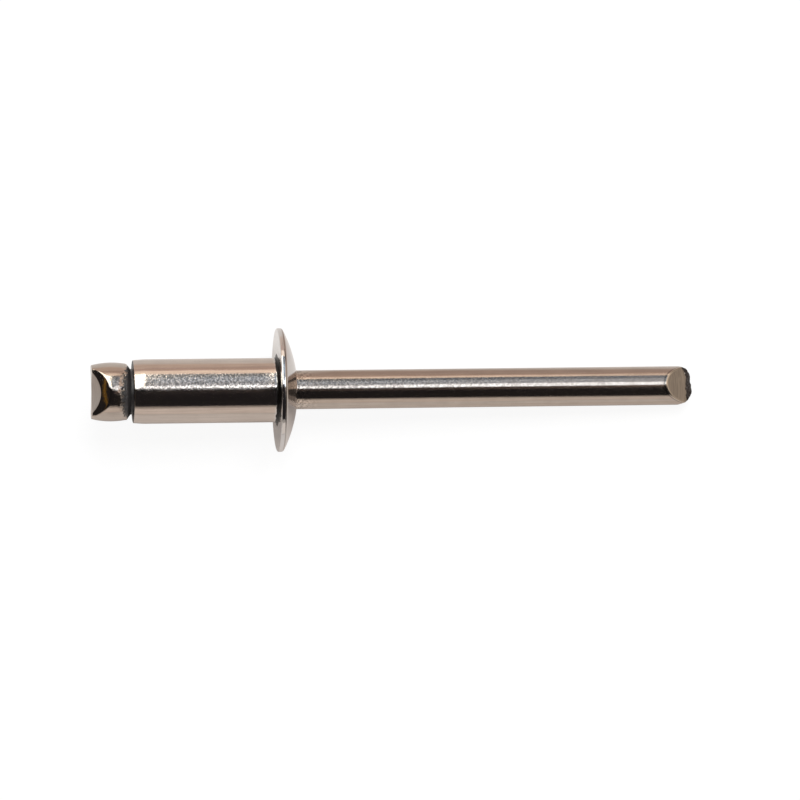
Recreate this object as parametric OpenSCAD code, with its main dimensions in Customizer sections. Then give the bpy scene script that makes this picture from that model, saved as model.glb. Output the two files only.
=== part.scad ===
// Pop rivet: an open-end blind rivet with its mandrel still in it, lying as it comes to rest.
// Lengths along the rivet run from the underside of the flange: plus towards the stem's tip,
// minus towards the blind head. It rests on the rim of the flange and on the tip of the stem.

/* [Tube] */
// Outside diameter of the tube, which is the size the rivet is sold by
shank_d = 4.8; // [4.6:0.1:6]
// Length of the tube from the underside of the flange to its open end
shank_l = 10.75; // [8:0.25:18]
// Length over which the tube narrows towards its open end
lead_l = 0.8; // [0.4:0.1:2]
// How much the radius narrows over that length
lead_in = 0.05; // [0.01:0.01:0.12]
// Radius of the outer edge at the open end
end_edge_r = 0.18; // [0.05:0.01:0.3]
// Width of the chamfer in the mouth of the bore
mouth_c = 0.2; // [0.1:0.02:0.3]

/* [Flange] */
// Diameter of the flange
flange_d = 9.23; // [8:0.1:11]
// Height of the domed flange over its underside
flange_h = 1.39; // [1:0.05:2]
// Height of the rim, where its side would meet the dome in a sharp corner
rim_h = 0.39; // [0.34:0.02:0.7]
// Radius that rounds the rim into the dome
rim_top_r = 0.22; // [0.1:0.02:0.26]
// Radius of the rim's lower edge
rim_low_r = 0.1; // [0.04:0.01:0.14]
// Radius of the fillet between the tube and the flange
root_r = 0.2; // [0.1:0.05:0.4]
// Radius of the edge where the stem leaves the dome
lip_r = 0.1; // [0.04:0.02:0.2]

/* [Mandrel stem] */
// Diameter of the stem
stem_d = 2.9; // [2.6:0.05:3.1]
// Length of the stem that stands out of the dome
stem_out = 29.88; // [22:0.02:40]
// Gap all round between the stem and the bore
stem_play = 0.075; // [0.04:0.005:0.12]
// Distance of the break notch from the open end of the tube
notch_in = 2.2; // [1.4:0.1:5]
// Diameter that is left at the break notch
notch_d = 2.1; // [1.6:0.05:2.4]
// Width of the break notch
notch_w = 0.9; // [0.5:0.1:1.4]

/* [Mandrel head] */
// Diameter of the head at its widest
head_d = 4.38; // [4.2:0.02:4.7]
// Length of the head outside the tube
head_l = 3.08; // [2.6:0.02:4]
// Distance of the head's widest place from the tube
belly_out = 1.6; // [1.2:0.1:1.8]
// Radius of the bulge along the head's side
bulge_r = 6; // [4:0.5:12]
// Distance of the head's shoulder from the tube
shoulder_out = 0.62; // [0.54:0.02:0.8]
// Radius of the shoulder
shoulder_r = 0.28; // [0.15:0.01:0.3]
// Length of the neck between the shoulder and the tube
neck_l = 0.18; // [0.1:0.02:0.24]
// Gap between the cone under the head and the mouth of the bore
seat_play = 0.02; // [0.01:0.005:0.04]

/* [Pinched end of the head] */
// Angle of the two ramps to the rivet's axis
ramp_a = 30.6; // [26:0.2:34]
// Distance of the ramps' upper ends from the tube
ramp_out = 1.74; // [1.6:0.02:1.9]
// Radius that crowns the ramps across their width
ramp_crown_r = 16; // [6:0.5:30]
// Angle of the two end faces to the rivet's axis
roof_a = 73; // [68:1:80]
// Thickness of the ridge between the end faces
ridge_t = 0.1; // [0.04:0.02:0.3]
// Turn of the pinched end about the rivet's axis
head_roll = 9; // [0:1:15]

/* [Pinched tip of the stem] */
// Angle of the two facets to the rivet's axis
facet_a = 26; // [22:1:32]
// Length of the facets along the axis
facet_l = 1.55; // [1:0.05:1.8]
// Radius that crowns the facets across their width
facet_crown_r = 2.8; // [2.5:0.1:8]
// Length of the torn end beyond the facets
torn_l = 0.55; // [0.3:0.05:0.9]
// Thickness of the torn end at its outermost edge
torn_t = 0.3; // [0.1:0.05:0.6]
// Turn of the facets about the rivet's axis
facet_roll = 6; // [0:1:12]

/* [Hidden] */
$fn = 96;

steel_warm = [0.66, 0.62, 0.59];
steel_grey = [0.56, 0.54, 0.53];
arc_steps = 8;
dome_steps = 16;
// The outlines are turned from a seam at this angle, so that none lies at the very bottom.
seam_a = 20.9;
// How far a cut reaches beyond what it cuts
over = 1;

shank_rad = shank_d / 2;
stem_rad = stem_d / 2;
bore_rad = stem_rad + stem_play;
head_rad = head_d / 2;
notch_rad = notch_d / 2;
mouth_rad = bore_rad + mouth_c;
end_rad = shank_rad - lead_in;
flange_rad = flange_d / 2;

// The dome's arc has its centre on the axis and runs through the rim's corner and the lip's top.
lip_rad = bore_rad + lip_r;
dome_c = (lip_rad^2 + flange_h^2 - flange_rad^2 - rim_h^2) / (2 * (flange_h - rim_h));
dome_r = norm([lip_rad, flange_h - dome_c]);
rim_round_x = flange_rad - rim_top_r;
rim_round_h = dome_c + sqrt((dome_r - rim_top_r)^2 - rim_round_x^2);
rim_round_a = atan2(rim_round_h - dome_c, rim_round_x);
lip_a = acos(lip_rad / dome_r);

// Stations along the axis, from the blind end to the tip.
tube_s = -shank_l;
head_s = tube_s - head_l;
belly_s = tube_s - belly_out;
shoulder_s = tube_s - shoulder_out;
neck_s = tube_s - neck_l;
notch_s = tube_s + notch_in;
tip_s = flange_h + stem_out;
facet_end_s = tip_s - torn_l;
facet_s = facet_end_s - facet_l;
facet_rad = stem_rad - facet_l * tan(facet_a);

// The cone under the head runs beside the mouth's chamfer, one seat_play away from it.
seat_rad = mouth_rad - seat_play * sqrt(2);
seat_s = tube_s + seat_rad - stem_rad;

// Radius of the bulged side of the head at station s.
function head_side(s) = head_rad - bulge_r + sqrt(bulge_r^2 - (s - belly_s)^2);

// How much a face crowned with radius r has fallen at y to the side of its middle.
function crown_fall(r, y) = r - sqrt(r^2 - y^2);

// Points on an arc about c, from angle a to angle b.
function arc(c, r, a, b, steps) =
    [for (i = [0 : steps]) let (t = a + (b - a) * i / steps) c + r * [cos(t), sin(t)]];

// The torn edge seen from above: distance back from the tip, and share of the stem's radius.
torn_edge = [
    [1.10, 1.00], [0.85, 0.94], [0.60, 0.88], [0.12, 0.50], [0.11, 0.17], [0.00, -0.02],
    [0.00, -0.34], [0.24, -0.57], [0.41, -0.76], [0.63, -0.87], [1.07, -1.00]
];

// How the rivet comes to rest: the rim's rounding and the end of the stem's full round
// touch the surface, which gives the tilt and the height of the axis.
touch_fall = crown_fall(facet_crown_r, stem_rad * sin(facet_roll));
touch_s = facet_s + (stem_rad * (1 - cos(facet_roll)) * cos(facet_a) - touch_fall) / sin(facet_a);
run = touch_s - rim_round_h;
rise = rim_round_x - stem_rad;
tilt = atan2(rise, run) + asin(rim_top_r / norm([run, rise]));
axis_z = rim_round_x * cos(tilt) + rim_round_h * sin(tilt) + rim_top_r;
ridge_low = head_side(head_s) * sin(head_roll) + ridge_t / 2 * cos(head_roll);
left_x = head_s * cos(tilt) - ridge_low * sin(tilt);
right_x = tip_s * cos(tilt) + torn_t / 2 * sin(tilt);
axis_x = -(left_x + right_x) / 2;

// Puts what was modelled along +X, with +Z up, where it lies at rest.
module at_rest() {
    translate([axis_x, 0, axis_z])
        rotate([0, tilt, 0])
            children();
}

// Turns an outline of [radius, station] about the rivet's axis. The seam lies off the bottom.
module turned(outline) {
    rotate([0, 90, 0])
        rotate([0, 0, seam_a])
            rotate_extrude()
                polygon(outline);
}

// Extrudes a side view, drawn in [station, height], across the rivet.
module across(outline) {
    rotate([90, 0, 0])
        linear_extrude(2 * shank_d, center = true)
            polygon(outline);
}

function body_outline() = concat(
    [[mouth_rad, tube_s]],
    arc([end_rad - end_edge_r, tube_s + end_edge_r], end_edge_r, -90, 0, arc_steps),
    [[shank_rad, tube_s + lead_l]],
    arc([shank_rad + root_r, -root_r], root_r, 180, 90, arc_steps),
    arc([flange_rad - rim_low_r, rim_low_r], rim_low_r, -90, 0, arc_steps),
    arc([rim_round_x, rim_round_h], rim_top_r, 0, rim_round_a, arc_steps),
    arc([0, dome_c], dome_r, rim_round_a, lip_a, dome_steps),
    arc([lip_rad, flange_h - lip_r], lip_r, 90, 180, arc_steps),
    [[bore_rad, tube_s + mouth_c]]
);

module rivet_body() {
    color(steel_warm)
        at_rest()
            turned(body_outline());
}

function mandrel_outline() = concat(
    [[0, head_s]],
    [for (i = [0 : dome_steps])
        let (s = head_s + (shoulder_s - head_s) * i / dome_steps) [head_side(s), s]],
    arc([head_side(shoulder_s) - shoulder_r, shoulder_s], shoulder_r, 0, 60, arc_steps),
    [[seat_rad, neck_s], [seat_rad, tube_s], [stem_rad, seat_s]],
    [[stem_rad, notch_s - notch_w / 2], [notch_rad, notch_s], [stem_rad, notch_s + notch_w / 2]],
    [[stem_rad, tip_s], [0, tip_s]]
);

// What a blade takes off: all that is above a face that falls towards +X at angle a from the
// origin, and is crowned across its width. Reach is its length, rad the radius of what is cut.
module crowned_cut(a, crown_r, reach, rad) {
    rotate([0, a, 0])
        difference() {
            translate([-over, -rad - over, -rad])
                cube([reach + over, 2 * (rad + over), 2 * rad + over]);
            translate([-2 * over, 0, -crown_r])
                rotate([0, 90, 0])
                    cylinder(h = reach + 3 * over, r = crown_r);
        }
}

// What the pinching blade took off one side of the head: a crowned ramp and an end face.
module head_pinch() {
    translate([tube_s - ramp_out, 0, head_side(tube_s - ramp_out)])
        mirror([1, 0, 0])
            crowned_cut(ramp_a, ramp_crown_r, head_l, head_rad);
    across([
        [head_s - over, ridge_t / 2],
        [head_s, ridge_t / 2],
        [head_s + head_d / tan(roof_a), ridge_t / 2 + head_d],
        [head_s - over, ridge_t / 2 + head_d]
    ]);
}

// What the blade took off one side of the stem: a crowned facet and the slope of the torn end.
module tip_pinch() {
    translate([facet_s, 0, stem_rad])
        crowned_cut(facet_a, facet_crown_r, facet_l + torn_l + over, stem_rad);
    across([
        [facet_end_s, facet_rad],
        [tip_s, torn_t / 2],
        [tip_s + over, torn_t / 2],
        [tip_s + over, stem_d],
        [facet_end_s, stem_d]
    ]);
}

// What is missing beyond the torn edge.
module torn_away() {
    edge = [for (p = torn_edge) [tip_s - p[0], p[1] * stem_rad]];
    translate([0, 0, -stem_d])
        linear_extrude(2 * stem_d)
            polygon(concat(
                [[edge[0][0], stem_d]],
                edge,
                [[edge[len(edge) - 1][0], -stem_d], [tip_s + over, -stem_d], [tip_s + over, stem_d]]
            ));
}

module mandrel() {
    color(steel_grey)
        at_rest()
            difference() {
                turned(mandrel_outline());
                for (side = [0, 180]) {
                    rotate([side + head_roll, 0, 0]) head_pinch();
                    rotate([side - facet_roll, 0, 0]) tip_pinch();
                }
                torn_away();
            }
}

rivet_body();
mandrel();
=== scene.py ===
from math import atan2, cos, pi, radians, sin, sqrt, tan

import bpy
import numpy as np
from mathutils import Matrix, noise


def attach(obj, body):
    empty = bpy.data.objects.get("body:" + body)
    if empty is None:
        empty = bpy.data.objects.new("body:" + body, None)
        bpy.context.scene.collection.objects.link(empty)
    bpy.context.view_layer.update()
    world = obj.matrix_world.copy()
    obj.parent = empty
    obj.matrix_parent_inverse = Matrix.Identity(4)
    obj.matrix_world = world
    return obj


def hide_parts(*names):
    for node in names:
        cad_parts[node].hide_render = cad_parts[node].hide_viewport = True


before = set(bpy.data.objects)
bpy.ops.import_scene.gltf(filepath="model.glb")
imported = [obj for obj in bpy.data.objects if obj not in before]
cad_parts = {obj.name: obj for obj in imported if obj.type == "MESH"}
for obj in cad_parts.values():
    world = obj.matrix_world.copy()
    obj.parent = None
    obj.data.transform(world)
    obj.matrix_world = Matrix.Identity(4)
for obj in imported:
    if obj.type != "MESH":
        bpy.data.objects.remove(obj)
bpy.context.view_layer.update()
mm = 0.001
print("frame loaded:", sorted(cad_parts))

# How the rivet lies. Lengths along it run from the flange's underside: plus to the stem's tip.
lie = {"axisX": -8.65662 * mm, "axisZ": 4.61673 * mm, "tilt": radians(6.2479)}


# Camera, straight above as in the photograph

camera = {
    "place": (0.518 * mm, -0.85 * mm, 418.6 * mm), "roll": radians(-0.665),
    "lens": 250, "sensor": 36, "clipFrom": 0.01, "clipTo": 60,
}

bpy.ops.object.camera_add(location=camera["place"], rotation=(0, 0, camera["roll"]))
cam = bpy.context.object
cam.name = "photoCamera"
cam.data.lens = camera["lens"]
cam.data.sensor_width = camera["sensor"]
cam.data.clip_start = camera["clipFrom"]
cam.data.clip_end = camera["clipTo"]
bpy.context.scene.camera = cam
bpy.context.scene.view_settings.view_transform = "Standard"
print("camera set")


# Shared steps of the modelling

outlineGap, spunGap = 1e-7, 4e-7   # vertices closer than this are merged, in metres
creaseAngle = radians(38)
halvings = 44                      # of the ray when a vertex is pressed to a face


def clearSelection():
    if bpy.context.object and bpy.context.object.mode != "OBJECT":
        bpy.ops.object.mode_set(mode="OBJECT")
    bpy.ops.object.select_all(action="DESELECT")


def arcPoints(s, r, radius, start, end, steps):
    # points on an arc about (s, r); angles from the outward direction towards the tip
    turns = [start + (end - start) * i / steps for i in range(steps + 1)]
    return [(s + radius * sin(radians(a)), r + radius * cos(radians(a))) for a in turns]


def evenPoints(first, last, count):
    # the points between two others that cut the line into equal parts
    return [(first[0] + (last[0] - first[0]) * i / count,
             first[1] + (last[1] - first[1]) * i / count) for i in range(1, count)]


def spunPiece(name, points, closed, steps):
    # one vertex is drawn out along the outline, and the outline is spun about the axis
    clearSelection()
    bpy.ops.mesh.primitive_plane_add(size=mm, location=(0, 0, 0))
    piece = bpy.context.object
    piece.name = name
    piece.data.name = name
    bpy.ops.object.mode_set(mode="EDIT")
    bpy.ops.mesh.select_mode(type="VERT")
    bpy.ops.mesh.select_all(action="SELECT")
    bpy.ops.mesh.merge(type="CENTER")
    at = (points[0][0] * mm, 0, points[0][1] * mm)
    bpy.ops.transform.translate(value=at)
    outline = points[1:] + (points[:1] if closed else [])
    for s, r in outline:
        to = (s * mm, 0, r * mm)
        bpy.ops.mesh.extrude_vertices_move(
            TRANSFORM_OT_translate={"value": (to[0] - at[0], 0, to[2] - at[2])})
        at = to
    bpy.ops.mesh.select_all(action="SELECT")
    bpy.ops.mesh.remove_doubles(threshold=outlineGap)
    bpy.ops.mesh.select_all(action="SELECT")
    bpy.ops.mesh.spin(steps=steps, angle=2 * pi, center=(0, 0, 0), axis=(1, 0, 0))
    bpy.ops.mesh.select_all(action="SELECT")
    bpy.ops.mesh.remove_doubles(threshold=spunGap)
    bpy.ops.mesh.select_all(action="SELECT")
    bpy.ops.mesh.normals_make_consistent(inside=False)
    bpy.ops.object.mode_set(mode="OBJECT")
    return piece


def vertexPlaces(piece):
    # in millimetres, one row for each vertex: along the rivet, across it, up
    flat = np.zeros(len(piece.data.vertices) * 3, np.float64)
    piece.data.vertices.foreach_get("co", flat)
    return flat.reshape(-1, 3) / mm


def putVertices(piece, places):
    piece.data.vertices.foreach_set("co", (places * mm).ravel())
    piece.data.update()


def softMax(values, reach):
    # the largest of several depths, with the join between two of them rounded
    top = values[0]
    for value in values[1:]:
        share = np.clip(0.5 + 0.5 * (value - top) / reach, 0, 1)
        top = top * (1 - share) + value * share + reach * share * (1 - share)
    return top


def pressTo(places, chosen, middle, depth, farthest):
    # moves the chosen vertices along their rays from the middle until the depth is nought
    rays = places[chosen] - middle
    rays /= np.linalg.norm(rays, axis=1)[:, None]
    near = np.zeros(len(rays))
    far = np.full(len(rays), float(farthest))
    for _ in range(halvings):
        half = (near + far) / 2
        outside = depth(middle + rays * half[:, None]) > 0
        far = np.where(outside, half, far)
        near = np.where(outside, near, half)
    places[chosen] = middle + rays * near[:, None]


def noteOn(piece, name, values):
    layer = piece.data.attributes.new(name, "FLOAT", "POINT")
    layer.data.foreach_set("value", np.asarray(values, np.float32))


def layDown(piece):
    # from the rivet's own axis to where it lies on the floor
    clearSelection()
    piece.select_set(True)
    bpy.context.view_layer.objects.active = piece
    piece.rotation_euler = (0, lie["tilt"], 0)
    piece.location = (lie["axisX"], 0, lie["axisZ"])
    bpy.ops.object.transform_apply(location=True, rotation=True, scale=True)
    bpy.ops.object.shade_smooth_by_angle(angle=creaseAngle)


# Nodes and node groups

noiseSpan = (0.35, 0.65)   # nearly all of a noise's values lie between these


def feed(tree, value, socket):
    # a number or a colour is set on the socket, and anything else is linked to it
    if isinstance(value, (int, float, tuple)):
        socket.default_value = value
    else:
        tree.links.new(value, socket)


def mathNode(tree, step, a, b=None):
    node = tree.nodes.new("ShaderNodeMath")
    node.operation = step
    feed(tree, a, node.inputs[0])
    if b is not None:
        feed(tree, b, node.inputs[1])
    return node.outputs[0]


def times(tree, a, b):
    return mathNode(tree, "MULTIPLY", a, b)


def rangeNode(tree, value, low, high, toLow, toHigh, smooth=False):
    node = tree.nodes.new("ShaderNodeMapRange")
    node.interpolation_type = "SMOOTHSTEP" if smooth else "LINEAR"
    for i, number in enumerate((value, low, high, toLow, toHigh)):
        feed(tree, number, node.inputs[i])
    return node.outputs[0]


def noiseRange(tree, value, low, high):
    return rangeNode(tree, value, *noiseSpan, low, high)


def byMask(tree, mask, without, full):
    # the first value where the mask is 0, the second where it is 1
    return rangeNode(tree, mask, 0.0, 1.0, without, full)


def rising(tree, value, places, smooth=True, top=1.0):
    # 0 before the first of two places and the top after the second; places are in millimetres
    return rangeNode(tree, value, places[0] * mm, places[1] * mm, 0.0, top, smooth)


def falling(tree, value, places, smooth=True):
    return rangeNode(tree, value, places[0] * mm, places[1] * mm, 1.0, 0.0, smooth)


def withShares(tree, start, shares):
    # a value to which each mask adds its own number
    for mask, number in shares:
        start = mathNode(tree, "ADD", start, times(tree, mask, number))
    return start


def colourMix(tree, share, first, second, blend="MIX"):
    node = tree.nodes.new("ShaderNodeMix")
    node.data_type = "RGBA"
    node.blend_type = blend
    for i, value in ((0, share), (6, first), (7, second)):
        feed(tree, value, node.inputs[i])
    return node.outputs[2]


def noiseNode(tree, vector, scale, detail, roughness=0.5):
    node = tree.nodes.new("ShaderNodeTexNoise")
    sockets = {"Vector": vector, "Scale": scale, "Detail": detail, "Roughness": roughness}
    for name, value in sockets.items():
        feed(tree, value, node.inputs[name])
    return node.outputs[0]


def bumpNode(tree, height, distance, before=None):
    node = tree.nodes.new("ShaderNodeBump")
    node.inputs["Distance"].default_value = distance
    node.inputs["Strength"].default_value = 1.0
    tree.links.new(height, node.inputs["Height"])
    if before is not None:
        tree.links.new(before, node.inputs["Normal"])
    return node.outputs[0]


def reordered(tree, vector, order):
    # the three coordinates in another order, or with one of them replaced
    join = tree.nodes.new("ShaderNodeCombineXYZ")
    split = tree.nodes.new("ShaderNodeSeparateXYZ")
    tree.links.new(vector, split.inputs[0])
    for i, source in enumerate(order(split.outputs)):
        tree.links.new(source, join.inputs[i])
    return join.outputs[0]


def newGroup(name, numbers, results):
    # a group's number sockets with their usual values, and the names of what it puts out
    group = bpy.data.node_groups.new(name, "ShaderNodeTree")
    group.interface.new_socket(name="Vector", in_out="INPUT", socket_type="NodeSocketVector")
    for socketName, value in numbers.items():
        socket = group.interface.new_socket(name=socketName, in_out="INPUT", socket_type="NodeSocketFloat")
        socket.default_value = value
    for socketName in results:
        group.interface.new_socket(name=socketName, in_out="OUTPUT", socket_type="NodeSocketFloat")
    source = group.nodes.new("NodeGroupInput").outputs
    goal = group.nodes.new("NodeGroupOutput").inputs
    return group, source, goal


def perMetre(tree, millimetres):
    # a noise's scale for a grain of that size
    return mathNode(tree, "DIVIDE", 1000.0, millimetres)


def makeOrangePeel():
    # fine dimples of drawn and tumbled steel; size in millimetres, stretch along the rivet
    group, source, goal = newGroup("orangePeel", {"Size": 0.25, "Stretch": 1.0}, ["Height"])
    vector = reordered(group, source["Vector"], lambda xyz: (
        mathNode(group, "DIVIDE", xyz[0], source["Stretch"]), xyz[1], xyz[2]))
    peel = noiseNode(group, vector, perMetre(group, source["Size"]), detail=2.0, roughness=0.55)
    group.links.new(peel, goal["Height"])
    return group


def makeDrawingLines():
    # lines that the drawing die leaves along the rivet; spacing in millimetres
    alongShare = 0.03   # of the noise's pace across the lines
    group, source, goal = newGroup("drawingLines", {"Spacing": 0.1}, ["Height"])
    vector = reordered(group, source["Vector"], lambda xyz: (
        times(group, xyz[0], alongShare), xyz[1], xyz[2]))
    lines = noiseNode(group, vector, perMetre(group, source["Spacing"]), detail=3.0, roughness=0.6)
    group.links.new(lines, goal["Height"])
    return group


def makeSmudges():
    # slow changes of tone from handling and oil
    group, source, goal = newGroup("smudges", {"Size": 2.0}, ["Mask"])
    cloud = noiseNode(group, source["Vector"], perMetre(group, source["Size"]), detail=4.0, roughness=0.6)
    group.links.new(noiseRange(group, cloud, 0.0, 1.0), goal["Mask"])
    return group


def makeShadeFlakes():
    # a ragged mask for the painted shade on the head's shoulder, and the height of its flakes; Cover is how
    # much of the surface it still holds
    flakeSpan, edgeSpan = (0.3, 0.7), (0.46, 0.56)
    group, source, goal = newGroup("shadeFlakes", {"Size": 0.3, "Cover": 0.5}, ["Mask", "Height"])
    rough = noiseNode(group, source["Vector"], perMetre(group, source["Size"]), detail=5.0, roughness=0.65)
    bare = rangeNode(group, rough, *flakeSpan, 0.0, 1.0)
    held = mathNode(group, "ADD", mathNode(group, "SUBTRACT", source["Cover"], bare), 0.5)
    group.links.new(rangeNode(group, held, *edgeSpan, 0.0, 1.0, smooth=True), goal["Mask"])
    group.links.new(rough, goal["Height"])
    return group


orangePeel = makeOrangePeel()
drawingLines = makeDrawingLines()
smudges = makeSmudges()
shadeFlakes = makeShadeFlakes()


def placeGroup(tree, group, vector, **values):
    node = tree.nodes.new("ShaderNodeGroup")
    node.node_tree = group
    tree.links.new(vector, node.inputs["Vector"])
    for name, value in values.items():
        feed(tree, value, node.inputs[name])
    return node.outputs


# Steps that both steels share

def steelStart(name):
    # a new material, its shader, and the coordinates along, out from and around the rivet's axis
    material = bpy.data.materials.new(name)
    material.use_nodes = True
    tree = material.node_tree
    shader = tree.nodes["Principled BSDF"].inputs
    shader["Metallic"].default_value = 1.0
    where = tree.nodes.new("ShaderNodeTexCoord")
    turn = tree.nodes.new("ShaderNodeMapping")
    turn.vector_type = "TEXTURE"
    turn.inputs["Location"].default_value = (lie["axisX"], 0, lie["axisZ"])
    turn.inputs["Rotation"].default_value = (0, lie["tilt"], 0)
    tree.links.new(where.outputs["Object"], turn.inputs["Vector"])
    split = tree.nodes.new("ShaderNodeSeparateXYZ")
    tree.links.new(turn.outputs[0], split.inputs[0])
    along, across, up = split.outputs
    squares = mathNode(tree, "ADD", mathNode(tree, "POWER", across, 2.0), mathNode(tree, "POWER", up, 2.0))
    at = {"vector": turn.outputs[0], "along": along, "outward": mathNode(tree, "SQRT", squares),
          "around": mathNode(tree, "ARCTAN2", across, up)}
    return material, tree, shader, at


def glintBandMask(tree, around, first, last):
    # 1 on the band along the top of the rivet that mirrors the bright cards, where pits and painted glints
    # go; 0 beside it
    firstSoft, lastSoft = 0.03, 0.02   # half the width of its two edges, in radians
    first, last = radians(first), radians(last)
    rise = rangeNode(tree, around, first - firstSoft, first + firstSoft, 0.0, 1.0, smooth=True)
    fall = rangeNode(tree, around, last - lastSoft, last + lastSoft, 1.0, 0.0, smooth=True)
    return times(tree, rise, fall)


def drawnTone(tree, bright, cloud, lines, v):
    # drawn steel, smudged here and there and with a faint tone along its lines
    tone = colourMix(tree, times(tree, cloud, v["cloudShare"]), bright, v["dull"])
    return colourMix(tree, 1.0, tone, noiseRange(tree, lines, *v["lineTone"]), "MULTIPLY")


def pitsAndGlintsTone(tree, vector, share, tone, v):
    # fine dark pits and bright flats between them, where the share is 1: the steel's peened grain, with
    # painted glints of the bright cards
    pits = noiseNode(tree, vector, 1000.0 / v["pitSize"], detail=1.0)
    return colourMix(tree, share, tone, noiseRange(tree, pits, *v["pitAndGlintTone"]), "MULTIPLY")


def readNote(tree, name):
    node = tree.nodes.new("ShaderNodeAttribute")
    node.attribute_name = name
    return node.outputs["Fac"]


# Rivet body: tube, flange and bore in one piece

body = {
    "tubeR": 2.4, "tubeL": 10.75, "leadL": 0.8, "leadIn": 0.05, "endR": 0.08, "mouthC": 0.2,
    "boreR": 1.525, "flangeR": 4.615, "flangeH": 1.39, "rimH": 0.39, "rimTopR": 0.22,
    "rimLowR": 0.1, "rootR": 0.2, "lipR": 0.1,
    # the place where the lead runs into the tube is softened over this length and depth
    "softL": 0.06, "softIn": 0.003,
    # steps round the axis and on the arcs, rings on the straight stretches, the bore's rings
    "around": 224, "edgeSteps": 10, "lowSteps": 8, "domeSteps": 28, "leadRings": 4, "tubeRings": 8,
    "underRings": 8, "boreStops": (0.4, 0.5),
}


def bodyOutline(b):
    mouth = -b["tubeL"]
    leadS = mouth + b["leadL"]
    # the dome's arc runs through the lip and the rim's sharp corner
    lipR = b["boreR"] + b["lipR"]
    squares = lipR**2 + b["flangeH"]**2 - b["flangeR"]**2 - b["rimH"]**2
    domeC = squares / (2 * (b["flangeH"] - b["rimH"]))
    domeR = sqrt(lipR**2 + (b["flangeH"] - domeC)**2)
    rimR = b["flangeR"] - b["rimTopR"]
    rimS = domeC + sqrt((domeR - b["rimTopR"])**2 - rimR**2)
    rimTurn = atan2(rimS - domeC, rimR) * 180 / pi
    lipTurn = atan2(sqrt(domeR**2 - lipR**2), lipR) * 180 / pi
    # mouth, lead and tube
    edgeR = b["tubeR"] - b["leadIn"] - b["endR"]
    points = [(mouth, b["boreR"] + b["mouthC"])]
    points += arcPoints(mouth + b["endR"], edgeR, b["endR"], -90, 0, b["edgeSteps"])
    points += evenPoints(points[-1], (leadS, b["tubeR"]), b["leadRings"])
    points += [(leadS - b["softL"], b["tubeR"] - b["softIn"]), (leadS + b["softL"], b["tubeR"])]
    points += evenPoints(points[-1], (-b["rootR"], b["tubeR"]), b["tubeRings"])
    points += arcPoints(-b["rootR"], b["tubeR"] + b["rootR"], b["rootR"], 180, 90, b["edgeSteps"])
    # flange: underside, rim, dome and lip
    lowR = b["flangeR"] - b["rimLowR"]
    points += evenPoints(points[-1], (0, lowR), b["underRings"])
    points += arcPoints(b["rimLowR"], lowR, b["rimLowR"], -90, 0, b["lowSteps"])
    points += arcPoints(rimS, rimR, b["rimTopR"], 0, rimTurn, b["edgeSteps"])
    points += arcPoints(domeC, 0, domeR, rimTurn, lipTurn, b["domeSteps"])[1:]
    points += arcPoints(b["flangeH"] - b["lipR"], lipR, b["lipR"], 90, 180, b["lowSteps"])[1:]
    # bore, down to the chamfer in the mouth
    flangeShare, tubeShare = b["boreStops"]
    stops = (b["flangeH"] * flangeShare, mouth * tubeShare, mouth + b["mouthC"])
    return points + [(s, b["boreR"]) for s in stops]


rivetBody = spunPiece("rivetBody", bodyOutline(body), True, body["around"])
layDown(rivetBody)
print("rivet body spun:", len(rivetBody.data.polygons), "faces")


# Finish of the rivet body

bodySteel = {
    "tube": (0.53, 0.45, 0.395, 1), "flange": (0.61, 0.575, 0.555, 1), "dull": (0.46, 0.385, 0.335, 1),
    # the first two colours on the next line are painted: shade in the corner under the flange and at the
    # tube's mouth, and a dark reflection on the rim
    "paintedCornerShade": (0.024, 0.022, 0.021, 1), "paintedRimReflection": (0.20, 0.15, 0.11, 1), "rimReflectionShare": 0.55,
    "cloudSize": 1.6, "cloudShare": 0.5, "lineSpacing": 0.12, "lineTone": (0.93, 1.06),
    # angles round the axis of the band with pits and painted glints, the pits' size, and their tone, whose
    # bright end is painted glint
    "glintBand": (-1, 32), "pitSize": 0.15, "pitAndGlintTone": (0.58, 1.36),
    "roughness": 0.11, "flangeRoughness": 0.07, "cloudRoughness": 0.03, "paintedShadeRoughness": 0.3,
    # bumps: sizes in millimetres, depths in metres, and the share on the flange and on steel beside the
    # glint band
    "peelSize": 0.13, "peelStretch": 1.2, "peelDepth": 4.6e-6, "waveSize": 0.6, "waveDepth": 3.0e-6,
    "lineDepth": 1.0e-6, "flangeBump": 0.03, "plainPeel": 0.22,
    # places along the rivet and out from its axis, in millimetres
    "tubeTo": (-0.4, -0.1), "rimFrom": (0.28, 0.32), "rimTo": (0.37, 0.42), "rimOut": (4.2, 4.3),
    "cornerFrom": (-0.22, -0.17), "cornerTo": (0.1, 0.3), "cornerOut": (2.66, 2.74),
    "mouthTo": (-10.75, -10.72), "ragSize": 0.3, "rag": 0.2,
}


def paintedShadeMask(tree, at, v):
    # painted shade: dark in the corner under the flange and round the tube's open end, next to the head
    ragged = placeGroup(tree, orangePeel, at["vector"], Size=v["ragSize"], Stretch=1.0)["Height"]
    rag = times(tree, mathNode(tree, "SUBTRACT", ragged, 0.5), v["rag"] * mm)
    wavy = mathNode(tree, "ADD", at["along"], rag)
    corner = times(tree, rising(tree, wavy, v["cornerFrom"]), falling(tree, at["outward"], v["cornerOut"]))
    corner = times(tree, corner, falling(tree, at["along"], v["cornerTo"], smooth=False))
    return mathNode(tree, "MAXIMUM", corner, falling(tree, at["along"], v["mouthTo"]))


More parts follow.
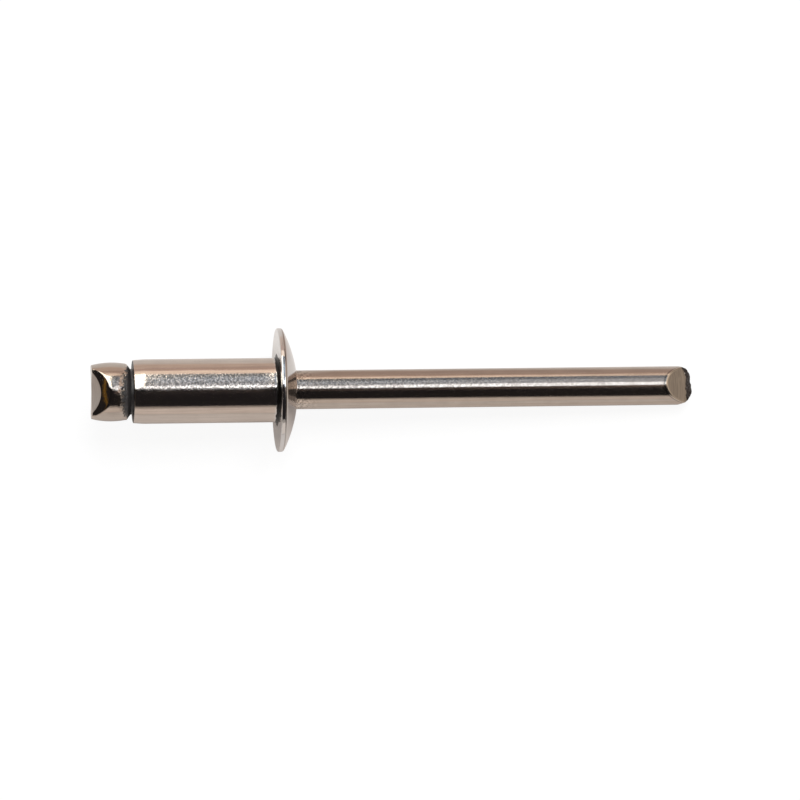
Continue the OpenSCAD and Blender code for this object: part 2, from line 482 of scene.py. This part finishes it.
def makeBodySteel(v):
    material, tree, shader, at = steelStart("bodySteel")
    onTube = falling(tree, at["along"], v["tubeTo"])
    glintBand = glintBandMask(tree, at["around"], *v["glintBand"])
    paintedCornerShade = paintedShadeMask(tree, at, v)
    cloud = placeGroup(tree, smudges, at["vector"], Size=v["cloudSize"])["Mask"]
    lines = placeGroup(tree, drawingLines, at["vector"], Spacing=v["lineSpacing"])["Height"]
    peel = placeGroup(tree, orangePeel, at["vector"], Size=v["peelSize"], Stretch=v["peelStretch"])["Height"]
    wave = placeGroup(tree, orangePeel, at["vector"], Size=v["waveSize"], Stretch=1.0)["Height"]
    # a painted dark reflection: a dark brown line where the rim turns into the dome
    rim = times(tree, rising(tree, at["along"], v["rimFrom"]), falling(tree, at["along"], v["rimTo"]))
    rim = times(tree, rim, rising(tree, at["outward"], v["rimOut"], smooth=False, top=v["rimReflectionShare"]))
    tubeTone = drawnTone(tree, v["tube"], cloud, lines, v)
    tubeTone = pitsAndGlintsTone(tree, at["vector"], glintBand, tubeTone, v)
    tone = colourMix(tree, onTube, v["flange"], tubeTone)
    # painted dark reflection on the rim
    tone = colourMix(tree, rim, tone, v["paintedRimReflection"])
    # painted shade in the corner under the flange and at the tube's mouth
    tone = colourMix(tree, paintedCornerShade, tone, v["paintedCornerShade"])
    tree.links.new(tone, shader["Base Color"])
    rough = byMask(tree, onTube, v["flangeRoughness"], v["roughness"])
    rough = withShares(tree, rough, ((cloud, v["cloudRoughness"]), (paintedCornerShade, v["paintedShadeRoughness"])))
    tree.links.new(rough, shader["Roughness"])
    # the flange is nearly smooth, and the peel is strongest on the tube's band of painted glints
    strength = byMask(tree, onTube, v["flangeBump"], 1.0)
    peelStrength = times(tree, strength, byMask(tree, glintBand, v["plainPeel"], 1.0))
    normal = bumpNode(tree, times(tree, wave, strength), v["waveDepth"])
    normal = bumpNode(tree, times(tree, peel, peelStrength), v["peelDepth"], normal)
    normal = bumpNode(tree, times(tree, lines, onTube), v["lineDepth"], normal)
    tree.links.new(normal, shader["Normal"])
    return material


rivetBody.data.materials.clear()
rivetBody.data.materials.append(makeBodySteel(bodySteel))
print("rivet body finished")


# Mandrel: stem, pinched head and pinched, torn tip

mandrelSizes = {
    "stemR": 1.45, "headR": 2.19, "headL": 3.08, "bellyOut": 1.6, "bulgeR": 6.0,
    "shoulderOut": 0.62, "shoulderR": 0.28, "shoulderTurn": 60, "neckL": 0.18,
    "seatR": 1.6967, "seatS": -10.5033, "notchIn": 2.2, "notchR": 1.05, "notchW": 0.9,
    "tipS": 31.27,
    # steps round the axis, and rings on each stretch, close from tipFrom on for the pinched tip
    "around": 288, "endRings": 34, "sideRings": 74, "shoulderSteps": 12, "neckRings": 5, "stemRings": 14,
    "tipFrom": 28.6, "tipRings": 60, "tipEndRings": 26,
}
headPress = {
    "rampTurn": radians(30.6), "rampOut": 1.74, "rampCrown": 5.0,
    "rampL": 1.0, "rampBow": 9.0, "bowSpan": (-0.3, 1.5),
    "roofTurn": radians(70), "roofHollow": 3.6, "ridge": 0.05, "roll": radians(2.5), "soft": 0.05,
    # what is pressed lies at least pressOut from the tube; past the end the side goes on by overrun
    "pressOut": 1.1, "middle": (-12.35, 0, 0), "farthest": 3.2, "overrun": 0.4, "finishEdge": 0.05,
}
tipPress = {
    "facetTurn": radians(26), "facetL": 1.55, "facetCrown": 4.8, "tornL": 0.55, "tornT": 0.15,
    "roll": radians(-6), "soft": 0.04, "pressFrom": 28.7, "middle": (29.0, 0, 0), "farthest": 3.0,
    # the torn outline seen from above: distance back from the tip, and share of the stem's radius
    "edge": [(1.00, 1.00), (0.68, 0.94), (0.44, 0.85), (0.12, 0.53), (0.14, 0.22), (0.05, -0.02),
             (0.00, -0.34), (0.14, -0.53), (0.36, -0.76), (0.60, -0.89), (1.07, -1.00)],
    "edgeSteep": 0.8,
    # where the torn metal ends on the facets, in the same terms
    "inner": [(0.80, 0.90), (0.66, 0.76), (0.55, 0.57), (0.45, 0.29), (0.40, -0.04), (0.46, -0.25),
              (0.52, -0.52), (0.45, -0.72), (0.42, -0.90)],
    "facetEdge": 0.04, "tornEdge": 0.05, "innerEdge": 0.06,
    # the bead that the blade raised along the facets' edge, and the line of painted shadow beside it
    "beadW": 0.035, "beadH": 0.012, "beadShadowOut": 0.075, "beadShadowW": 0.03,
}
tornMetal = {
    "least": 0.05, "depth": 0.05, "perMm": 4.5, "middle": 0.35, "octaves": 4,
    "liftPerMm": 5, "liftStart": 9, "liftOctaves": 3, "rough": 0.9, "gap": 2.0,
}
shoulderFlakes = {
    # the wavy line where the flakes and the painted shade start, before the tube
    "leastOut": 0.5, "moreOut": 0.6, "turn": radians(8), "lobes": 3, "lobe": 0.25, "lobeBase": 0.2,
    "power": 1.5, "span": (-1, 1.5), "before": 0.1, "fade": 0.3, "inTube": 0.4,
    # the flakes' steps, which fade out on the neck
    "least": 0.02, "depth": 0.045, "perMm": 3.2, "middle": 0.45, "rough": 0.8, "gap": 2.1, "octaves": 4,
    "neckOut": 0.02, "neckFade": 0.1,
}
nearAxis = 0.1   # closer to the axis than this, the bead is raised less

stemR, tipS = mandrelSizes["stemR"], mandrelSizes["tipS"]
tubeS = -body["tubeL"]
headS = tubeS - mandrelSizes["headL"]
bellyS = tubeS - mandrelSizes["bellyOut"]


def headSide(s):
    # radius of the head's bulged side
    bulgeR = mandrelSizes["bulgeR"]
    return mandrelSizes["headR"] - bulgeR + np.sqrt(bulgeR**2 - (s - bellyS)**2)


def mandrelOutline(m):
    shoulderS = tubeS - m["shoulderOut"]
    shoulderR = float(headSide(shoulderS)) - m["shoulderR"]
    rings = m["sideRings"]
    side = [headS + (shoulderS - headS) * i / rings for i in range(rings + 1)]
    points = [(headS, 0.0)] + evenPoints((headS, 0.0), (headS, float(headSide(headS))), m["endRings"])
    points += [(s, float(headSide(s))) for s in side]
    points += arcPoints(shoulderS, shoulderR, m["shoulderR"], 0, m["shoulderTurn"], m["shoulderSteps"])[1:]
    # neck, and the cone that seats in the tube's mouth
    neck = (tubeS - m["neckL"], m["seatR"])
    points += evenPoints(points[-1], neck, m["neckRings"])
    points += [neck, (tubeS, m["seatR"]), (m["seatS"], stemR)]
    # break notch
    notchS, half = tubeS + m["notchIn"], m["notchW"] / 2
    points += [(notchS - half, stemR), (notchS, m["notchR"]), (notchS + half, stemR)]
    # stem, its tip, and the tip's end
    stops = (((m["tipFrom"], stemR), m["stemRings"]), ((tipS, stemR), m["tipRings"]),
             ((tipS, 0.0), m["tipEndRings"]))
    for stop, rings in stops:
        points += evenPoints(points[-1], stop, rings) + [stop]
    return points


def rolled(q, turn):
    # the same places in a frame that is turned about the rivet's axis
    turnedQ = q.copy()
    turnedQ[:, 1] = q[:, 1] * cos(turn) + q[:, 2] * sin(turn)
    turnedQ[:, 2] = q[:, 2] * cos(turn) - q[:, 1] * sin(turn)
    return turnedQ


def crownFall(radius, y):
    return radius - np.sqrt(np.maximum(radius**2 - y**2, 0))


def shareOver(depth, reach):
    # from 0 to 1 as the depth goes through nought
    return np.clip(0.5 + depth / reach, 0, 1)


# Depths are heights over a face: minus inside the metal, plus outside it

def rampDepth(q, side):
    # the crowned and slightly bowed ramp on one side of the head
    p = headPress
    q = rolled(q, p["roll"])
    s0 = tubeS - p["rampOut"]
    u0 = float(headSide(s0))
    over = -(q[:, 0] - s0) * sin(p["rampTurn"]) + (side * q[:, 2] - u0) * cos(p["rampTurn"])
    down = (s0 - q[:, 0]) * cos(p["rampTurn"]) + (u0 - side * q[:, 2]) * sin(p["rampTurn"])
    bow = (np.clip(down, *p["bowSpan"]) - p["rampL"] / 2)**2 / (2 * p["rampBow"])
    return over + bow + crownFall(p["rampCrown"], q[:, 1])


def roofDepth(q, side):
    # the steep, hollow face from the head's ridge to the ramp
    p = headPress
    q = rolled(q, p["roll"])
    face = -(q[:, 0] - headS) * sin(p["roofTurn"]) + (side * q[:, 2] - p["ridge"]) * cos(p["roofTurn"])
    return face - crownFall(p["roofHollow"], q[:, 1])


def barrelDepth(q):
    r = np.hypot(q[:, 1], q[:, 2])
    sideS = np.clip(q[:, 0], headS - headPress["overrun"], tubeS)
    return np.maximum(r - headSide(sideS), headS - q[:, 0])


def headPinch(q):
    faces = [rampDepth(q, 1), rampDepth(q, -1), roofDepth(q, 1), roofDepth(q, -1)]
    return softMax(faces, headPress["soft"])


def headDepth(q):
    return softMax([barrelDepth(q), headPinch(q)], headPress["soft"])


def stemDepth(q):
    return np.hypot(q[:, 1], q[:, 2]) - stemR


def facetDepth(q):
    # the two pinched facets of the tip, and the steeper torn faces behind them
    p = tipPress
    q = rolled(q, p["roll"])
    endS = tipS - p["tornL"]
    endU = stemR - p["facetL"] * tan(p["facetTurn"])
    lift = np.abs(q[:, 2]) - endU
    facet = (q[:, 0] - endS) * sin(p["facetTurn"]) + lift * cos(p["facetTurn"])
    facet += crownFall(p["facetCrown"], q[:, 1])
    slope = atan2(endU - p["tornT"], p["tornL"])
    torn = (q[:, 0] - endS) * sin(slope) + lift * cos(slope)
    return facet, torn


def edgeDepth(q, line="edge"):
    share = [e[1] for e in tipPress[line]][::-1]
    back = [e[0] for e in tipPress[line]][::-1]
    return (q[:, 0] - tipS + np.interp(q[:, 1] / stemR, share, back)) * tipPress["edgeSteep"]


def tipDepth(q):
    facet, torn = facetDepth(q)
    return softMax([stemDepth(q), facet, torn, edgeDepth(q)], tipPress["soft"])


def finishNotes(places, atHead, atTip):
    # which finish each vertex has, from 0 to 1
    p = tipPress
    head, tip = places[atHead], places[atTip]
    facet, torn = facetDepth(tip)
    overFacet = facet - stemDepth(tip)
    overTorn = np.maximum(torn, edgeDepth(tip)) - np.maximum(facet, stemDepth(tip))
    notes = {name: np.zeros(len(places)) for name in ("pinched", "ragged", "beaded", "beadShadowed")}
    notes["pinched"][atHead] = shareOver(headPinch(head) - barrelDepth(head), headPress["finishEdge"])
    notes["pinched"][atTip] = shareOver(overFacet, p["facetEdge"])
    notes["ragged"][atTip] = np.maximum(shareOver(overTorn, p["tornEdge"]),
                                        shareOver(edgeDepth(tip, "inner"), p["innerEdge"]))
    notes["beaded"][atTip] = np.exp(-(overFacet / p["beadW"])**2) * (1 - notes["ragged"][atTip])
    # the line of painted shadow beside the bead
    notes["beadShadowed"][atTip] = np.exp(-((overFacet + p["beadShadowOut"]) / p["beadShadowW"])**2)
    return notes


def raiseBead(places, beaded):
    r = np.maximum(np.hypot(places[:, 1], places[:, 2]), nearAxis)
    places[:, 1:] *= (1 + tipPress["beadH"] * beaded / r)[:, None]


def tearTip(places, ragged, v):
    for i in np.nonzero(ragged > v["least"])[0]:
        s, y, u = places[i]
        n, k = v["perMm"], v["liftPerMm"]
        tear = noise.fractal((s * n, y * n, u * n), v["rough"], v["gap"], v["octaves"])
        lift = noise.fractal((s * k + v["liftStart"], y * k, u * k), v["rough"], v["gap"], v["liftOctaves"])
        places[i, 0] += v["depth"] * ragged[i] * (tear - v["middle"])
        places[i, 2] += v["depth"] * ragged[i] * lift


def pastFlakeLine(places, v):
    # how far each vertex lies past the line where the flakes and the painted shade start, towards the tube;
    # in two wedges, at one side and underneath, the power gives no number and no flakes are made
    turnOf = np.arctan2(places[:, 1], places[:, 2])
    lobes = v["lobe"] * np.sin(v["lobes"] * turnOf) + v["lobeBase"]
    reach = np.maximum(np.cos(turnOf + v["turn"]), lobes)**v["power"]
    return np.clip(places[:, 0] - (tubeS - v["leastOut"] - v["moreOut"] * reach), *v["span"])


def flakeShoulder(places, flakeIn, v):
    flaky = np.clip((flakeIn + v["before"]) / v["fade"], 0, 1) * (places[:, 0] < tubeS + v["inTube"])
    for i in np.nonzero(flaky > v["least"])[0]:
        s, y, u = places[i]
        r, n = sqrt(y * y + u * u), v["perMm"]
        flake = abs(noise.fractal((s * n, y * n, u * n), v["rough"], v["gap"], v["octaves"]))
        onNeck = min(1, max(0, (r - mandrelSizes["seatR"] - v["neckOut"]) / v["neckFade"]))
        places[i, 1:] *= 1 + v["depth"] * flaky[i] * (flake - v["middle"]) * onNeck / r


def makeMandrel():
    piece = spunPiece("mandrel_piece", mandrelOutline(mandrelSizes), False, mandrelSizes["around"])
    places = vertexPlaces(piece)
    atHead = places[:, 0] < tubeS - headPress["pressOut"]
    pressTo(places, atHead, np.array(headPress["middle"]), headDepth, headPress["farthest"])
    atTip = places[:, 0] > tipPress["pressFrom"]
    pressTo(places, atTip, np.array(tipPress["middle"]), tipDepth, tipPress["farthest"])
    notes = finishNotes(places, atHead, atTip)
    raiseBead(places, notes["beaded"])
    tearTip(places, notes["ragged"], tornMetal)
    notes["flakeIn"] = pastFlakeLine(places, shoulderFlakes)
    flakeShoulder(places, notes["flakeIn"], shoulderFlakes)
    putVertices(piece, places)
    for name, values in notes.items():
        noteOn(piece, name, values)
    layDown(piece)
    return piece


mandrel = makeMandrel()
print("mandrel spun and pressed:", len(mandrel.data.polygons), "faces")


# Finish of the mandrel

wireSteel = {
    "stem": (0.47, 0.395, 0.34, 1), "dull": (0.39, 0.325, 0.28, 1), "pinched": (0.31, 0.265, 0.232, 1),
    # the second colour on the next line, with the metallic after it, is painted shade on the head's shoulder
    # by the tube
    "torn": (0.055, 0.047, 0.045, 1), "scale": (0.050, 0.046, 0.046, 1), "shoulderShadeMetal": 0.2,
    # on the next line: a painted highlight on the tip's raised bead, and a painted shadow line beside the
    # bead
    "bead": (0.85, 0.72, 0.58, 1), "beadHighlightShare": 0.8, "beadShadow": (0.07, 0.06, 0.055, 1), "beadShadowShare": 0.7,
    "cloudSize": 1.3, "cloudShare": 0.5, "lineSpacing": 0.1, "lineTone": (0.93, 1.06),
    # the band with pits and painted glints lies between the two angles given for it on the next line
    "streakSpacing": 0.16, "streakTone": (0.84, 1.12), "glintBand": (0, 34), "pitSize": 0.15,
    "pitAndGlintTone": (0.58, 1.36), "roughness": 0.11, "cloudRoughness": 0.04, "pinchedRoughness": -0.055,
    "tornRoughness": 0.25, "shoulderShadeRoughness": 0.22,
    # bumps: sizes in millimetres, depths in metres, and how much of the peel each place has
    "peelSize": 0.12, "peelStretch": 1.3, "peelDepth": 2.8e-6, "plainPeel": 0.15, "glintBandPeel": 1.3,
    "domePeel": 3.0, "headPeel": 0.9, "lineDepth": 0.8e-6, "streakDepth": 6.0e-7, "flakeDepth": 6.0e-5,
    # the painted shade on the shoulder: how far before its line it starts, and over what length it closes up
    "flakeSize": 0.24, "coverFrom": 0.10, "coverL": 0.62,
    # places along the rivet, in millimetres; the strip's marks fade from the dome to the tip
    "headTo": (-10.0, -9.5), "domeFrom": (-0.5, 0.0), "domeTo": (1.4, 3.4),
    "stripFade": (4, 30), "stripMarks": (0.65, 0.15),
}


def makeWireSteel(v):
    material, tree, shader, at = steelStart("wireSteel")
    pinched, torn, flakeIn, bead, beadShadow = (
        readNote(tree, name) for name in ("pinched", "ragged", "flakeIn", "beaded", "beadShadowed"))
    cloud = placeGroup(tree, smudges, at["vector"], Size=v["cloudSize"])["Mask"]
    lines = placeGroup(tree, drawingLines, at["vector"], Spacing=v["lineSpacing"])["Height"]
    peel = placeGroup(tree, orangePeel, at["vector"], Size=v["peelSize"], Stretch=v["peelStretch"])["Height"]
    # streaks that the blade left across the pinched faces
    across = reordered(tree, at["vector"], lambda xyz: (xyz[1], xyz[0], xyz[2]))
    streaks = placeGroup(tree, drawingLines, across, Spacing=v["streakSpacing"])["Height"]
    # the painted shade on the shoulder grows denser towards the tube, and stops inside it
    onHead = falling(tree, at["along"], v["headTo"], smooth=False)
    cover = mathNode(tree, "DIVIDE", mathNode(tree, "ADD", flakeIn, v["coverFrom"]), v["coverL"])
    flakes = placeGroup(tree, shadeFlakes, at["vector"], Size=v["flakeSize"], Cover=cover)
    shoulderShaded = times(tree, flakes["Mask"], onHead)
    # the stem is most marked where it leaves the dome, and along the band of painted glints that mirrors the
    # bright cards
    fadeFrom, fadeTo = v["stripFade"]
    fade = rangeNode(tree, at["along"], fadeFrom * mm, fadeTo * mm, *v["stripMarks"])
    strip = times(tree, glintBandMask(tree, at["around"], *v["glintBand"]), fade)
    nearDome = times(tree, rising(tree, at["along"], v["domeFrom"], smooth=False),
                     falling(tree, at["along"], v["domeTo"]))
    tone = drawnTone(tree, v["stem"], cloud, lines, v)
    tone = pitsAndGlintsTone(tree, at["vector"], mathNode(tree, "MAXIMUM", strip, nearDome), tone, v)
    streaky = noiseRange(tree, streaks, *v["streakTone"])
    tone = colourMix(tree, pinched, tone, colourMix(tree, 1.0, v["pinched"], streaky, "MULTIPLY"))
    # a painted shadow line beside the bead, then a painted highlight on the bead
    tone = colourMix(tree, times(tree, beadShadow, v["beadShadowShare"]), tone, v["beadShadow"])
    tone = colourMix(tree, times(tree, bead, v["beadHighlightShare"]), tone, v["bead"])
    tone = colourMix(tree, torn, tone, v["torn"])
    # painted shade on the head's shoulder by the tube
    tone = colourMix(tree, shoulderShaded, tone, v["scale"])
    tree.links.new(tone, shader["Base Color"])
    rough = withShares(tree, v["roughness"], (
        (cloud, v["cloudRoughness"]), (pinched, v["pinchedRoughness"]), (torn, v["tornRoughness"]),
        (shoulderShaded, v["shoulderShadeRoughness"])))
    rough.node.use_clamp = True
    tree.links.new(rough, shader["Roughness"])
    tree.links.new(byMask(tree, shoulderShaded, 1.0, v["shoulderShadeMetal"]), shader["Metallic"])
    strength = times(tree, byMask(tree, strip, v["plainPeel"], v["glintBandPeel"]),
                     byMask(tree, nearDome, 1.0, v["domePeel"]))
    strength = byMask(tree, onHead, strength, v["headPeel"])
    flakeHeight = times(tree, flakes["Height"], mathNode(tree, "MAXIMUM", torn, shoulderShaded))
    normal = bumpNode(tree, times(tree, peel, strength), v["peelDepth"])
    normal = bumpNode(tree, lines, v["lineDepth"], normal)
    normal = bumpNode(tree, times(tree, streaks, pinched), v["streakDepth"], normal)
    normal = bumpNode(tree, flakeHeight, v["flakeDepth"], normal)
    tree.links.new(normal, shader["Normal"])
    return material


mandrel.data.materials.clear()
mandrel.data.materials.append(makeWireSteel(wireSteel))
print("mandrel finished")

for piece, node in ((rivetBody, "rivet_body"), (mandrel, "mandrel")):
    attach(piece, "root")
    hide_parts(node)


# Cards that the steel mirrors, floor, lamp and room

studio = {
    "floorSize": 8.0, "cameraFloor": (0.18, 0.18, 0.18, 1), "cameraGlow": 0.88, "white": (1, 1, 1, 1),
    "mirrorFloor": (0.86, 0.84, 0.82, 1), "mirrorGlow": 0.14, "brownFloor": (0.80, 0.66, 0.58, 1),
    # the second colour on the next line is a painted shadow on the floor just before the rivet, on the side
    # away from the lamp
    "stemFloor": (0.60, 0.495, 0.44, 1), "shadowedFloor": (0.78, 0.72, 0.68, 1),
    # places on the floor, in millimetres: across the rivet, and along it for stemFrom
    "brownFrom": (12, 22), "shadowFrom": (-14, -3.6), "shadowTo": (-1, 1), "stemFrom": (-9, -4),
    "stemBack": (3, 7), "ambient": 0.42, "lampPower": 2.6, "lampSize": 0.35, "lampPlace": (0.10, 0.30, 0.60),
    "cardReach": 1.2, "endWidth": 4.2,
    # from and to angle across the rivet, from and to angle along it, colour of the card
    "cards": [
        ("whiteStrip", 10.8, 17.5, -42, 11.3, (2.5, 2.75, 3.0)),
        ("creamCard", 17.5, 66, -42, 4.2, (4.4, 4.5, 4.2)),
        ("lowGrey", 17.5, 31, 4.2, 11.3, (0.34, 0.40, 0.48)),
        ("midGrey", 31, 50, 4.2, 11.3, (0.53, 0.65, 0.80)),
        ("highGrey", 50, 67, 4.2, 11.3, (0.22, 0.27, 0.33)),
        ("pinkCard", 66, 79, -42, 11.3, (1.42, 1.22, 1.05)),
        ("blackCard", -57, 10.8, -42, 13.5, (0.022, 0.021, 0.023)),
        ("stemStrip", 5.5, 24.5, 11.3, 17.5, (2.3, 2.6, 2.9)),
        ("stemDusk", 23.5, 46, 11.3, 17.5, (0.66, 0.76, 0.88)),
        ("stemGrey", 46, 66, 11.3, 17.5, (0.32, 0.38, 0.46)),
        ("stemPink", 66, 79, 11.3, 17.5, (1.15, 0.98, 0.85)),
        ("stemDim", -9, 6, 11.3, 17.5, (0.11, 0.09, 0.085)),
        ("stemBlack", -62, -9, 11.3, 17.5, (0.028, 0.026, 0.026)),
        ("backWall", 79, 92, -42, 17.5, (0.72, 0.565, 0.50)),
        ("frontEdge", -64, -57, -42, 11.3, (0.45, 0.42, 0.39)),
        ("stemEdge", -68, -62, 11.3, 17.5, (0.45, 0.42, 0.39)),
        ("frontWall", -92, -64, -42, 11.3, (0.90, 0.84, 0.79)),
        ("stemWall", -92, -68, 11.3, 17.5, (0.90, 0.84, 0.79)),
        ("headTan", -3, 66, 17.5, 26, (0.95, 0.81, 0.72)),
        ("headBlack", -66, -3, 17.5, 26, (0.028, 0.026, 0.026)),
        ("headWall", -92, -66, 17.5, 26, (0.60, 0.56, 0.53)),
        ("farDark", 66, 92, 17.5, 56, (0.15, 0.14, 0.135)),
        ("farTan", 6, 66, 26, 58, (0.74, 0.66, 0.59)),
        ("farShade", -47, 6, 26, 58, (0.09, 0.085, 0.085)),
        ("farGrey", -92, -47, 26, 58, (0.33, 0.31, 0.30)),
    ],
    # place along the rivet in metres, from and to elevation, colour of the card
    "endCards": [
        ("darkEnd", -1.9, 0, 62, (0.040, 0.037, 0.038)),
        ("goldStrip", -1.88, 36.4, 39.2, (0.36, 0.205, 0.036)),
        ("warmEnd", 1.9, 0, 62, (0.74, 0.66, 0.56)),
    ],
}


def glowMaterial(name, colour):
    material = bpy.data.materials.new(name)
    material.use_nodes = True
    tree = material.node_tree
    tree.nodes.clear()
    glow = tree.nodes.new("ShaderNodeEmission")
    glow.inputs["Color"].default_value = (*colour, 1)
    goal = tree.nodes.new("ShaderNodeOutputMaterial")
    tree.links.new(glow.outputs[0], goal.inputs["Surface"])
    material.cycles.emission_sampling = "NONE"
    return material


def addGlowCard(name, place, turn, size, colour):
    # a card that shows only in reflections
    clearSelection()
    bpy.ops.mesh.primitive_plane_add(size=1, location=place, rotation=turn)
    card = bpy.context.object
    card.name = name
    card.scale = (*size, 1)
    bpy.ops.object.transform_apply(location=True, rotation=True, scale=True)
    card.data.materials.append(glowMaterial(name, colour))
    card.visible_camera = False
    card.visible_diffuse = False
    card.visible_shadow = False
    card.visible_transmission = False


def addCard(name, low, high, start, end, colour):
    # a card along the tunnel that stands round the rivet
    reach = studio["cardReach"]
    turn = radians((low + high) / 2)
    width = 2 * reach * tan(radians(high - low) / 2)
    x0, x1 = reach * tan(radians(start)), reach * tan(radians(end))
    place = ((x0 + x1) / 2, reach * sin(turn), reach * cos(turn))
    addGlowCard(name, place, (-turn, 0, 0), (x1 - x0, width), colour)


def addEndCard(name, x, low, high, colour):
    # a card across an end of the tunnel, between two elevations
    z0, z1 = abs(x) * tan(radians(low)), abs(x) * tan(radians(high))
    place = (x, 0, (z0 + z1) / 2)
    addGlowCard(name, place, (0, radians(90), 0), (z1 - z0, studio["endWidth"]), colour)


def floorMaterial(v):
    # white for the camera; the steel mirrors it browner farther back, with a painted shadow just before the
    # rivet on the side away from the lamp
    material = bpy.data.materials.new("paleFloor")
    material.use_nodes = True
    tree = material.node_tree
    tree.nodes.clear()
    ray = tree.nodes.new("ShaderNodeLightPath").outputs
    where = tree.nodes.new("ShaderNodeTexCoord")
    split = tree.nodes.new("ShaderNodeSeparateXYZ")
    tree.links.new(where.outputs["Object"], split.inputs[0])
    along, across = split.outputs[0], split.outputs[1]
    behindStem = times(tree, rising(tree, along, v["stemFrom"], smooth=False),
                       rising(tree, across, v["stemBack"], smooth=False))
    # painted shadow on the floor just before the rivet, away from the lamp
    paintedShadow = times(tree, rising(tree, across, v["shadowFrom"], smooth=False),
                 falling(tree, across, v["shadowTo"], smooth=False))
    mirrored = colourMix(tree, rising(tree, across, v["brownFrom"]), v["mirrorFloor"], v["brownFloor"])
    mirrored = colourMix(tree, behindStem, mirrored, v["stemFloor"])
    mirrored = colourMix(tree, paintedShadow, mirrored, v["shadowedFloor"])
    matt = tree.nodes.new("ShaderNodeBsdfDiffuse")
    tree.links.new(colourMix(tree, ray["Is Camera Ray"], mirrored, v["cameraFloor"]), matt.inputs["Color"])
    glow = tree.nodes.new("ShaderNodeEmission")
    tree.links.new(colourMix(tree, ray["Is Camera Ray"], mirrored, v["white"]), glow.inputs["Color"])
    seen = mathNode(tree, "MAXIMUM", ray["Is Glossy Ray"], ray["Is Transmission Ray"])
    level = mathNode(tree, "ADD", times(tree, seen, v["mirrorGlow"]),
                     times(tree, ray["Is Camera Ray"], v["cameraGlow"]))
    tree.links.new(level, glow.inputs["Strength"])
    both = tree.nodes.new("ShaderNodeAddShader")
    tree.links.new(matt.outputs[0], both.inputs[0])
    tree.links.new(glow.outputs[0], both.inputs[1])
    goal = tree.nodes.new("ShaderNodeOutputMaterial")
    tree.links.new(both.outputs[0], goal.inputs["Surface"])
    material.cycles.emission_sampling = "NONE"
    return material


def addSoftLamp(v):
    # an area lamp that faces the rivet and doesn't show in the steel
    bpy.ops.object.light_add(type="AREA", location=v["lampPlace"])
    lamp = bpy.context.object
    lamp.name = "softLamp"
    lamp.data.energy = v["lampPower"]
    lamp.data.size = v["lampSize"]
    x, y, z = v["lampPlace"]
    lamp.rotation_euler = (-atan2(y, z), atan2(x, z), 0)
    lamp.visible_glossy = False


def makeRoom(v):
    # plain light from all round, and pure white for the camera and in reflections
    world = bpy.data.worlds.new("paleRoom")
    bpy.context.scene.world = world
    world.use_nodes = True
    tree = world.node_tree
    background = tree.nodes["Background"].inputs
    background["Color"].default_value = v["white"]
    ray = tree.nodes.new("ShaderNodeLightPath").outputs
    seen = mathNode(tree, "MAXIMUM", ray["Is Camera Ray"], ray["Is Glossy Ray"])
    seen = mathNode(tree, "MAXIMUM", seen, ray["Is Transmission Ray"])
    tree.links.new(byMask(tree, seen, v["ambient"], 1.0), background["Strength"])


for card in studio["cards"]:
    addCard(*card)
for card in studio["endCards"]:
    addEndCard(*card)

clearSelection()
bpy.ops.mesh.primitive_plane_add(size=studio["floorSize"], location=(0, 0, 0))
floor = bpy.context.object
floor.name = "paleFloor"
floor.data.materials.append(floorMaterial(studio))

addSoftLamp(studio)
makeRoom(studio)
print("studio set:", len(studio["cards"]) + len(studio["endCards"]), "cards")
